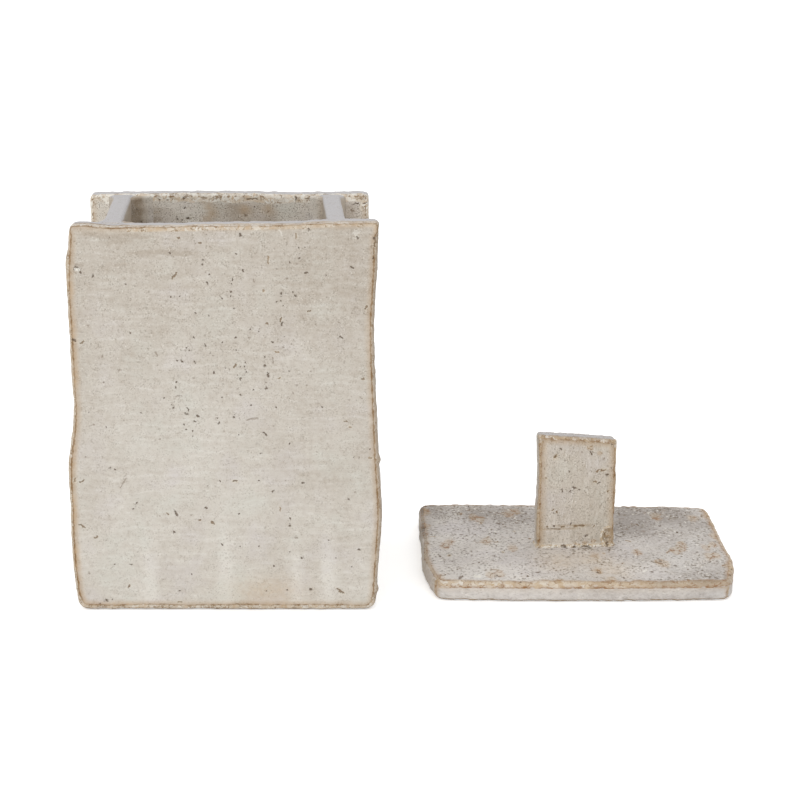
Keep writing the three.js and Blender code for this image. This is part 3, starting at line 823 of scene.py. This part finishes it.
# How much a face looks up, and so takes the painted cool shade of a top face
shaded_top = ease(facing[:, 2], *LEVEL)
raised = rough_slab(points, edge, SLAB_SKIN, SLAB_TORN, 11) - sunk
shaped = points + facing * raised[:, None]
dress(piece, "back_slab", shaped, facing, outer_glaze, {
    "edge": edge,
    # The dark patches are painted shade
    "tone": 0.15 * lumps(points, BROAD, 16) - 0.8 * near["dark"] - 0.5 * near["stain"]
    + 0.3 * pale_side + (0.4 + 0.4 * lumps(points, 7, 19)) * on_inside,
    "top_shade_share": shaded_top * 0.9,
    "pitted": np.maximum(pitted_patches(points, 17), 1.2 * on_inside),
    "coarse": 1 + 1.4 * on_inside - 0.6 * shaded_top,
    "warm": 0.8 * near["stain"] + 0.15 * near["dark"],
    "rust": 0.2 * on_inside,
    "crust": 0.95 * under_rim,
    "chalk_and_shade": 0.65,
    "lined": 0,
    "wash": ease(-facing[:, 1], 0.5, 0.9) * 0.2,
})


# Side walls
# Two narrower slabs between the front and the back, their ends pushed into slip that was
# smoothed into the corners with a finger. The glaze ran together over their rims, and the
# rims take the painted cool shade of a top face.

# How far each end goes into the slip, in millimetres
SEAM_PUSH = 1.0
# How far each fillet runs along the wall and how far it stands out, by end and side
SEAM_FILLETS = {("front", "outside"): (14.0, 4.4), ("back", "outside"): (5.0, 2.4),
                ("front", "inside"): (5.0, 2.2), ("back", "inside"): (5.0, 2.2)}
# How near its front end and its top the right wall starts to rise to the front's rim
RISE_FROM_END = 16
RISE_FROM_TOP = 8


def push_ends(points):
    """A wall a little longer at both ends, which lie in the slip of the seams."""
    middle = (points[:, 1].min() + points[:, 1].max()) / 2
    reach = (points[:, 1].max() - points[:, 1].min()) / 2
    share = (points[:, 1] - middle) / reach
    return points + DEEP * (share * SEAM_PUSH)[:, None]


for order, (node, inward) in enumerate((("left_wall", 1), ("right_wall", -1))):
    piece, points, facing = clay_copy(node, FRONT_CELL, push_ends)
    front_end, back_end = points[:, 1].min(), points[:, 1].max()
    top = points[:, 2].max()
    swell = np.zeros(len(points))
    for (end, side), (run, out) in SEAM_FILLETS.items():
        away = points[:, 1] - front_end if end == "front" else back_end - points[:, 1]
        sign = inward if side == "inside" else -inward
        away = np.clip(1 - (away - SEAM_PUSH) / run, 0, 1)
        swell += out * away ** 2 * np.clip(facing[:, 0] * sign, 0, 1)
    raised = 0.12 * lumps(points, 22, 21 + order) + 0.06 * lumps(points, 6, 23 + order)
    if node == "right_wall":
        risen = ease(points[:, 1], front_end + RISE_FROM_END, front_end)
        risen *= ease(points[:, 2], top - RISE_FROM_TOP, top - 1)
        points = points + TALL * (FRONT_RISEN[0] * risen)[:, None]
    shaped = points + facing * raised[:, None] + np.sign(facing) * WIDE * swell[:, None]
    dress(piece, node, shaped, facing, outer_glaze, {
        # The outside face is painted darker near its back end: painted shade in the corner against
        # the back slab
        "tone": 0.15 * lumps(points, BROAD, 25 + order)
        - 0.7 * ease(points[:, 1], back_end - 9, back_end - 3)
        * np.clip(-facing[:, 0] * inward, 0, 1),
        # Its rim takes the painted cool shade of a top face
        "top_shade_share": ease(facing[:, 2], 0.0, 0.6),
        "pitted": 0.7 * pitted_patches(points, 27 + order),
        "wash": ease(facing[:, 0] * inward, 0.5, 0.9),
    })


# Floor slab and rolls of clay
# The floor was cut to fit between the walls, and soft rolls were pressed into every inside
# seam with a finger. Inside, the glaze is a thin wash, so the brown clay shows through it.

FLOOR_CELL = 0.8
ROLL_CELL = 0.4
# In millimetres: how far a roll was pressed out, how far its thin ends reach into the slabs,
# and the upright marks that the finger left
PRESSED = 0.5
FEATHERED = 1.8
FINGER_MARKS = (1.4, 1.4, 30.0)
# From where to where along a corner roll the painted shade of its corner fades out, so that
# the roll gets paler
ROLL_PALER = {"left": (0.35, 0.8), "right": (0.0, 0.5)}
# It gives the eye the same skin, duller and rougher, for it was swilled and not brushed
inner_look = dict(outer_look, roughness=0.6, relief=0.2, pore=0.5)
inner_glaze = brushed_glaze("swilled_feldspar_glaze", inner_look)

inside_pieces = ["floor_slab"]
inside_pieces += [f"{end}_{side}_roll" for end in ("front", "back") for side in ("left", "right")]
inside_pieces += [f"floor_{side}_roll" for side in ("front", "back", "left", "right")]
for order, node in enumerate(inside_pieces):
    cell = FLOOR_CELL if node == "floor_slab" else ROLL_CELL
    piece, points, facing = clay_copy(node, cell)
    raised = PRESSED + 0.15 * lumps(points, 8, 31 + order) + 0.08 * lumps(points, 2.5, 41 + order)
    raised[facing[:, 2] < -0.5] = 0
    lighter = np.zeros(len(points))
    shaped = points + facing * raised[:, None]
    if "floor" not in node:
        # Along each leg of the roll, its thin end is smoothed into the slab behind it
        corner = (-1 if "left" in node else 1, -1 if "front" in node else 1)
        for axis in (0, 1):
            leg = -corner[axis] * points[:, axis]
            leg = (leg - leg.min()) / (leg.max() - leg.min())
            shaped[:, 1 - axis] += corner[1 - axis] * FEATHERED * ease(leg, 0.3, 1)
            if axis == 0:
                lighter = ease(leg, *ROLL_PALER["left" if "left" in node else "right"])
    dress(piece, node, shaped, facing, inner_glaze, {
        # The roll is painted darker and browner near its corner: painted shade
        "tone": 0.3 * lumps(points, FINGER_MARKS, 51 + order) - 0.2 + 0.5 * lighter,
        "coarse": 1.0 if "floor" in node else 1.5,
        "rust": 0.1,
        "wash": 1 - 0.8 * lighter,
    })


# Lid slab
# A slab of the same coarse clay, torn rather than smoothed on top, so grog stands out of it
# and the glaze lies in the hollows between. It stands beside the box in the photograph.

LID_CELL = 0.6
LID_RUST = [
    (449, 542), (445, 546), (480, 519), (474, 517), (515, 512), (509, 515), (486, 541), (513, 548),
    (660, 562), (665, 564), (675, 551), (682, 545), (713, 545), (706, 548), (716, 556), (709, 556),
    (730, 567), (736, 569), (707, 515), (693, 519), (490, 575), (500, 574), (612, 580), (560, 582),
    (425, 512), (425, 526), (680, 549), (656, 517), (637, 552), (714, 536), (441, 579), (595, 556),
    (598, 571),
]
LID_MARKS = [
    (460, 577, 3.0, 1.3, 60, "pit"), (512, 537, 1.1, 1.1, 0, "pit"),
    (481, 523, 1.0, 1.0, 0, "crack"), (498, 524, 2.6, 0.8, -40, "pit"),
    (495, 556, 0.9, 0.9, 0, "pit"), (503, 552, 0.9, 0.9, 0, "ringed"),
    (449, 556, 1.0, 0.9, 0, "ringed"), (440, 556, 0.9, 0.8, 0, "pit"),
    (479, 562, 1.2, 0.9, 0, "pit"), (460, 568, 0.9, 0.9, 0, "faint"),
    (429, 544, 1.0, 1.0, 0, "faint"), (433, 537, 2.4, 0.6, 0, "rust"),
    (448, 529, 1.3, 0.8, 0, "pit"), (459, 518, 1.3, 0.8, 0, "faint"),
    (451, 516, 1.6, 0.8, 0, "pit"), (461, 514, 1.0, 0.9, 0, "crack"),
    (424, 528, 1.5, 1.2, 80, "pit"), (425, 507, 1.6, 1.2, 0, "pit"),
    (452, 508, 1.6, 0.8, 0, "faint"), (469, 507, 1.0, 1.0, 0, "pit"),
    (488, 537, 1.4, 0.8, 30, "crack"), (476, 542, 2.8, 0.7, -55, "faint"),
    (496, 542, 2.0, 0.6, 20, "crack"), (514, 531, 1.0, 0.9, 0, "crack"),
    (495, 570, 3.4, 0.6, 0, "crack"), (498, 576, 1.8, 0.8, -50, "pit"),
    (478, 576, 2.8, 1.2, 0, "chip"), (510, 565, 0.9, 0.8, 0, "faint"),
    (531, 562, 1.1, 1.0, 0, "pit"), (538, 572, 2.6, 0.6, 0, "pit"),
    (530, 539, 1.2, 0.8, 0, "crack"), (567, 557, 0.9, 0.9, 0, "faint"),
    (579, 564, 1.0, 0.9, 0, "faint"), (598, 572, 1.4, 0.9, 30, "pit"),
    (604, 554, 1.0, 0.8, 0, "rust"), (624, 577, 1.2, 0.9, -50, "pit"),
    (622, 563, 1.2, 0.6, 60, "crack"), (618, 536, 3.6, 0.6, -40, "pit"),
    (660, 526, 1.2, 0.9, 70, "pit"), (665, 530, 0.9, 0.8, 0, "faint"),
    (665, 535, 1.0, 0.8, 0, "faint"), (677, 532, 1.0, 0.9, 0, "pit"),
    (656, 517, 3.8, 0.6, 20, "crack"), (675, 517, 1.3, 0.8, 0, "pit"),
    (679, 511, 1.4, 0.8, 30, "pit"), (665, 511, 1.2, 0.8, 0, "faint"),
    (701, 511, 1.6, 1.2, 80, "crack"), (708, 515, 2.0, 1.2, 0, "rust"),
    (668, 552, 2.4, 0.7, 40, "crack"), (681, 542, 1.6, 0.8, 0, "crack"),
    (659, 563, 3.6, 0.8, -25, "crack"), (709, 546, 1.6, 1.0, 60, "crack"),
    (694, 559, 1.1, 0.9, 0, "pit"), (692, 565, 1.0, 0.9, 0, "pit"),
    (714, 563, 1.0, 0.9, 0, "faint"), (694, 574, 1.0, 0.9, 0, "pit"),
    (724, 566, 1.6, 0.8, 30, "crack"), (733, 570, 1.8, 1.2, 0, "pit"),
    (645, 571, 2.4, 0.9, 20, "chip"), (622, 519, 3.0, 0.7, 5, "faint"),
    (634, 524, 3.6, 0.7, -5, "faint"), (626, 529, 2.6, 0.7, 10, "faint"),
    (642, 531, 3.0, 0.7, 0, "faint"), (628, 541, 2.6, 0.6, -10, "crack"),
]
# Soft patches on the top and round its edge, each kind with its spots and its reach
LID_PATCHES = {
    "rust": (LID_RUST, (2.2, 4.5, 2.0)),
    "shade": ([(440, 512), (475, 513), (510, 514), (632, 514), (665, 514), (630, 527)],
              (12.0, 14.0, 10.0)),
    "warmer": ([(560, 562), (590, 560), (610, 570)], (9.0, 12.0, 5.0)),
    "grog": ([(424, 510), (491, 507), (731, 568), (733, 571)], (1.6, 3.0, 1.6)),
    "knob_foot": ([(548, 547), (562, 547), (577, 547), (592, 547), (606, 547)],
                  (6.0, 5.0, 5.0)),
    "dark_corner": ([(423, 510), (423, 528)], (5.0, 12.0, 6.0)),
    "rusty_edge": ([(665, 580), (705, 581), (733, 585)], (10.0, 10.0, 10.0)),
    "pale_edge": ([(470, 583), (575, 582)], (20.0, 10.0, 10.0)),
}
# Between which spots the front side runs, from corner to corner
LID_CORNERS = [(436.5, 590), (728.5, 590)]
LID_SKIN = ((0.1, 25), (0.06, 6))
LID_TORN_TOP = ((0.28, (3.4, 5.0, 3.4)), (0.2, (1.6, 2.4, 1.6)))
LID_TORN_EDGE = ((0.25, 2.6), (0.18, 1.3))
LID_GROG_HEIGHT = 0.8
# The camera looks along the top, so a mark is this much longer in depth than it seems
FORESHORTENED = 1.8

piece, points, facing = clay_copy("lid_slab", LID_CELL)
edge, lid_arris = from_edge("lid_slab", points, (WIDE, DEEP, -TALL))
# It gives the eye a coarse, speckled crust over brown clay, dark in its torn furrows
lid_look = dict(outer_look)
lid_look.update({
    "thick": "#e8e2db", "thin": "#a89f98", "milky": "#d4d5d6", "lilac": "#c9c2c6",
    "cream": "#dacbb2", "buff": "#c0a47d", "line": "#8f6538", "dull_and_shaded": "#7b6e60",
    "furrow": "#8b7d6a", "grit_colour": "#6b5b45", "pit": "#604c34",
    "stroke": (3.0, 1.5, 1.5), "mottle": 1.8, "grain": 0.8, "worm": 2.2, "flake": 1.7,
    "pore_gap": 3.4, "pore": 0.5, "arris": lid_arris, "ragged": 2.8, "line_width": 0.42,
    "warm_reach": 2.0, "relief": 0.6,
    "share": {"clouds": 0.8, "brush": 0.2, "mottle": 1.0}, "torn": 0.75, "grit": 1.5,
    "glint": 1.3, "cover": 0.75, "crackle": 0.8, "warm": 0.6, "glow": 0.45,
    "line_low": 0.2, "line_high": 0.95, "outer_line": 1.2, "drawn_out": (1.6, 1.8, 1.0),
})
lid_glaze = brushed_glaze("torn_feldspar_glaze", lid_look)
lid_top = points[:, 2].max()
on_top = ease(facing[:, 2], 0.5, 0.9)
mark_axes = (WIDE, DEEP / FORESHORTENED, TALL)
sunk = press_marks(piece, points, mark_axes, lid_top, on_top > 0.5, LID_MARKS)
near = patches(points, TALL, lid_top, LID_PATCHES)
torn_top = relief(points, LID_TORN_TOP, 63)
raised = relief(points, LID_SKIN, 61) - sunk
raised += on_top * (torn_top * (1 - near["knob_foot"]) - 0.4 * near["knob_foot"])
raised += LID_GROG_HEIGHT * near["grog"]
raised += ease(edge, *TORN_EDGE) * relief(points, LID_TORN_EDGE, 65)

# The strip of flakes laps over the top in front, is narrow on the left, and turns into the
# two upright edges of the front side below it
level_way = np.maximum(np.hypot(facing[:, 0], facing[:, 1]), 0.05)
on_left = ease(-facing[:, 0] / level_way, 0.6, 0.9)
front_side = ease(-facing[:, 1], 0.3, 0.8)
in_front = ease(-points[:, 1], 0, 10 - points[:, 1].min())
seen_edge = widen(edge, lid_arris, 1.2 * ease(lumps(points, 5, 68), -0.6, 0.8) * in_front)
seen_edge = np.where(seen_edge < 0, seen_edge * (1 + 1.6 * on_left), seen_edge)
seen_edge[points[:, 2] < lid_top / 2] = NO_EDGE
corner_left, corner_right = seen_on(LID_CORNERS, DEEP, points[:, 1].min())[:, 0]
upright = np.minimum(points[:, 0] - corner_left, corner_right - points[:, 0])
below_strip = (seen_edge < -lid_arris * math.pi / 2 - 0.4) & (facing[:, 1] < -0.2)
seen_edge = np.where(below_strip & (upright > -0.8), upright, seen_edge)
to_right = ease(points[:, 0], points[:, 0].min() + 40, points[:, 0].max())
dress(piece, "lid_slab", points + facing * raised[:, None], facing, lid_glaze, {
    "edge": seen_edge,
    "tone": 0.12 * lumps(points, BROAD, 67) - 0.75 * near["shade"] * on_top
    - 0.8 * near["dark_corner"] - (0.03 + 0.25 * on_top) * to_right
    + (0.1 + 0.25 * lumps(points, 16, 69) + 0.3 * near["warmer"]) * on_top,
    "warm": 0.25 * front_side * ease(points[:, 2], 3.0, 5.2) + 0.4 * on_left * (1 - on_top)
    + 0.6 * near["warmer"],
    "pitted": 0.1 + 0.9 * on_top,
    "coarse": 0.2 + (0.7 + 0.6 * near["shade"] + 0.35 * lumps(points, 12, 70)) * on_top,
    "rust": 0.65 * near["rust"] + (0.22 + 0.05 * near["shade"]) * on_top,
    "chalk_and_shade": 0.2 * near["pale_edge"] + 0.1 * front_side - 0.5 * near["rusty_edge"]
    - 0.3 * on_left - 0.8 * near["dark_corner"],
    "lined": 0.7 - 0.3 * on_left,
})


# Knob
# A small upright slab with its top cut on a slope, luted to the lid with slip that was left
# as a thin white bead round its foot. It was turned a little as it was pressed down.

KNOB_CELL = 0.4
KNOB_TURN = math.radians(4.4)
# In millimetres: how deep the foot lies in the lid, how thick its bead of slip is, and how
# much lower its edge is taken, because the bead covers it
KNOB_SUNK = 0.6
FOOT_BEAD = 1.2
KNOB_BELOW = 20.0
KNOB_MARKS = [
    (569, 472, 0.8, 0.8, 0, "pit"), (555, 457, 1.4, 1.3, 0, "crack"),
    (561, 449, 1.2, 0.6, -45, "pit"), (582, 452, 0.8, 0.8, 0, "faint"),
    (591, 453, 2.2, 0.5, -70, "pit"), (604, 459, 1.6, 0.5, 60, "faint"),
    (598, 471, 1.8, 0.5, 40, "crack"), (603, 470, 2.2, 0.6, 5, "crack"),
    (603, 473, 1.4, 0.6, -55, "crack"), (607, 475, 1.5, 1.0, -15, "pit"),
    (595, 482, 1.3, 0.6, -10, "crack"), (599, 483, 1.8, 0.6, 45, "pit"),
    (545, 469, 0.7, 0.7, 0, "faint"), (546, 478, 0.8, 0.7, 0, "crack"),
    (562, 481, 1.0, 0.5, 60, "faint"), (562, 491, 1.9, 0.6, 95, "pit"),
    (574, 488, 1.8, 0.6, -15, "pit"), (570, 491, 1.0, 0.5, 40, "pit"),
    (579, 490, 0.9, 0.6, -20, "pit"), (556, 497, 0.6, 0.6, 0, "faint"),
    (608, 491, 0.8, 0.7, 0, "crack"), (608, 499, 0.7, 0.7, 0, "faint"),
    (553, 510, 1.1, 0.5, 35, "crack"), (557, 512, 1.0, 0.5, -65, "crack"),
    (571, 524, 1.1, 0.6, 50, "pit"), (579, 526, 5.2, 0.8, 3, "crack"),
    (587, 536, 1.2, 1.2, 0, "pit"), (554, 526, 0.8, 0.6, 0, "pit"),
    (563, 527, 2.0, 0.5, 0, "crack"), (554, 529, 6.0, 0.4, -3, "faint"),
    (605, 534, 1.6, 0.7, 60, "crack"), (607, 543, 1.4, 0.9, 0, "pit"),
    (563, 545, 2.2, 0.6, 4, "pit"), (555, 546, 1.8, 0.5, 0, "faint"),
    (574, 545, 1.0, 0.8, 0, "pit"), (585, 545, 3.8, 0.5, 0, "pit"),
    (593, 452, 0.8, 0.6, 0, "faint"), (547, 527, 1.0, 0.5, 0, "crack"),
    (612.5, 444, 0.8, 0.8, 0, "pit"), (612, 468, 0.8, 0.8, 0, "pit"),
    (594, 526, 0.9, 0.5, 60, "crack"), (565, 461, 0.8, 0.5, 50, "faint"),
]
KNOB_RUST = {"rust": ([(585, 543), (594, 541), (575, 544), (607, 536), (600, 453), (590, 448)],
                      (1.8, 1.0, 1.4))}
KNOB_GROG = {"grog": ([(539, 436), (616, 440)], (0.8, 1.5, 0.8))}
KNOB_GROG_HEIGHT = 0.6
# Where a tool left fine grooves, how deep and wide they are, and over what length they fade
KNOB_GROOVES = [(572, 525.5), (560, 529)]
GROOVE_DEPTH = 0.15
GROOVE_WIDTH = 0.4
GROOVE_FADES = (10.0, 5.0)
# Where a lump broke out at the foot, the half height of its hollow, its half width as a
# share of that, and how thick its lip is
KNOB_BITE = [(609, 536)]
BITE_RADIUS = 4.0
BITE_SHARE = 0.85
BITE_LIP = 0.5
KNOB_SKIN = ((0.1, 12), (0.07, 4), (0.05, 1.5))
KNOB_TORN = ((0.15, 2.0), (0.1, 1.0))
knob_across = np.array([math.cos(KNOB_TURN), math.sin(KNOB_TURN), 0.0])
knob_out = np.array([-math.sin(KNOB_TURN), math.cos(KNOB_TURN), 0.0])


def sink_foot(points):
    """The knob with its foot pressed a little into the lid."""
    low = points[:, 2] < points[:, 2].min() + 3
    return points - TALL * np.where(low, KNOB_SUNK, 0)[:, None]


piece, points, facing = clay_copy("lid_knob", KNOB_CELL, sink_foot)
knob_axes = (knob_across, TALL, knob_out)
edge, knob_arris = from_edge("lid_knob", points, knob_axes, KNOB_BELOW)
# It gives the eye a smoother, browner coat, drawn down in upright strokes of the brush
knob_look = dict(outer_look)
knob_look.update({
    "thick": "#dad2c7", "thin": "#b0a493", "buff": "#b7986e", "cream": "#cfbc9b",
    "line": "#835f33", "pit": "#5c4831",
    "stroke": (1.6, 1.6, 14.0), "grain": 0.6, "worm": 1.6, "flake": 1.0, "arris": knob_arris,
    "ragged": 2.0, "line_width": 0.34, "warm_reach": 4.0, "relief": 0.2,
    "torn": 0.5, "grit": 1.0, "glint": 0.9, "crackle": 0.9, "warm": 0.9, "glow": 0.3,
    "line_low": 0.4, "outer_line": 0.4,
})
knob_glaze = brushed_glaze("luted_feldspar_glaze", knob_look)
knob_face = (points @ knob_out).min()
on_face = facing @ knob_out < TO_THE_FRONT
sunk = press_marks(piece, points, knob_axes, knob_face, on_face, KNOB_MARKS)
foot = 1 - ease(points[:, 2], lid_top + 0.4, lid_top + 1.4)
raised = rough_slab(points, edge, KNOB_SKIN, KNOB_TORN, 71) - sunk + FOOT_BEAD * foot
raised += KNOB_GROG_HEIGHT * patches(points, knob_out, knob_face + 1, KNOB_GROG)["grog"]

from_bite = points - seen_on(KNOB_BITE, knob_out, knob_face)
aside = from_bite @ knob_across / BITE_SHARE
on_left = ease(-aside, -2.5, 0.5) * on_face
from_bite = np.hypot(aside, from_bite[:, 2])
lip = np.exp(-((from_bite - BITE_RADIUS) / BITE_LIP) ** 2) * on_left
shadow = np.exp(-((from_bite - BITE_RADIUS + 0.9) / BITE_LIP) ** 2) * on_left
hollow = ease(from_bite, BITE_RADIUS, BITE_RADIUS - 2.0) * on_face
raised += 0.4 * lip - (0.4 + 0.6 * lumps(points, 1.3, 77)) * hollow
groove = np.zeros(len(points))
for spot in seen_on(KNOB_GROOVES, knob_out, knob_face):
    along = np.abs((points - spot) @ knob_across)
    line = np.exp(-((points[:, 2] - spot[2]) / GROOVE_WIDTH) ** 2) * ease(along, *GROOVE_FADES)
    groove = np.maximum(groove, line * on_face)
raised -= GROOVE_DEPTH * groove

top = points[:, 2].max()
near_top = ease(edge, 3.0, 1.0) * ease(points[:, 2], top - 8, top - 4)
seen_edge = widen(edge, knob_arris, near_top * (0.5 + 0.5 * lumps(points, 2.2, 79)))
rust = patches(points, knob_out, knob_face, KNOB_RUST)["rust"]
dress(piece, "lid_knob", points + facing * raised[:, None], facing, knob_glaze, {
    "edge": seen_edge,
    "crust": np.maximum(1.5 * foot, 2.0 * lip),
    "tone": 0.12 * lumps(points, 20, 76) - (0.3 + 0.5 * lumps(points, 1.4, 78)) * hollow
    - 1.5 * shadow - 0.5 * groove,
    "warm": 0.1 * hollow + 0.3 * shadow + 0.5 * groove,
    "coarse": 1 + 2.5 * hollow,
    # Its top takes the painted cool shade of a top face
    "top_shade_share": ease(facing[:, 2], *LEVEL) * 0.8,
    "pitted": 0.5,
    "rust": 0.7 * rust + 0.3 * shadow,
    "chalk_and_shade": np.maximum(np.maximum(foot, lip), 0.4 * near_top),
    "lined": 0.6,
})


# Floor
# A wide sheet of white studio card. It shows white to the camera where nothing shades it,
# and it keeps the soft shadow at the foot of the box and round the lid.

FLOOR_SIZE = 40.0
FLOOR_BELOW = 0.3
FLOOR_LIFT = 0.45
FLOOR_ROUGHNESS = 0.9
# Matt white card. It gives the eye a plain ground with no sheen.
card = bpy.data.materials.new("white_studio_card")
card.use_nodes = True
rays = add_node(card.node_tree, "LightPath")
lift = add_node(card.node_tree, "Math", {0: rays["Is Camera Ray"], 1: FLOOR_LIFT},
                operation="MULTIPLY")[0]
card_shader = card.node_tree.nodes["Principled BSDF"]
card_shader.inputs["Base Color"].default_value = paint("#f6f6f6")
card_shader.inputs["Roughness"].default_value = FLOOR_ROUGHNESS
card_shader.inputs["Specular IOR Level"].default_value = 0.0
card_shader.inputs["Emission Color"].default_value = paint("#ffffff")
card.node_tree.links.new(lift, card_shader.inputs["Emission Strength"])
bpy.ops.mesh.primitive_plane_add(size=FLOOR_SIZE, location=(0, 0, -FLOOR_BELOW * MM))
floor = bpy.context.active_object
floor.name = "studio_floor"
floor.data.materials.append(card)


# Light
# A white surround, and one wide soft lamp in front, above and to the left, so that the
# shadows are faint and the pits and edges still stand out.

SKY = 0.85
LAMP_WATTS = 13.0
LAMP_SIZE = 1.6
LAMP_PLACE = (-0.8, -1.6, 1.3)
world = bpy.data.worlds.new("white_surround")
world.use_nodes = True
bpy.context.scene.world = world
ground = world.node_tree.nodes["Background"]
ground.inputs["Color"].default_value = paint("#ffffff")
rays = add_node(world.node_tree, "LightPath")
seen = add_node(world.node_tree, "MapRange", {"Value": rays["Is Camera Ray"], "To Min": SKY,
                                              "To Max": 1.0})[0]
world.node_tree.links.new(seen, ground.inputs["Strength"])

lamp = bpy.data.lights.new("soft_lamp", "AREA")
lamp.shape = "SQUARE"
lamp.size = LAMP_SIZE
lamp.energy = LAMP_WATTS
lamp_holder = bpy.data.objects.new("soft_lamp", lamp)
bpy.context.scene.collection.objects.link(lamp_holder)
lamp_holder.location = LAMP_PLACE
aim = -lamp_holder.location.normalized()
lamp_holder.rotation_euler = aim.to_track_quat("-Z", "Y").to_euler()
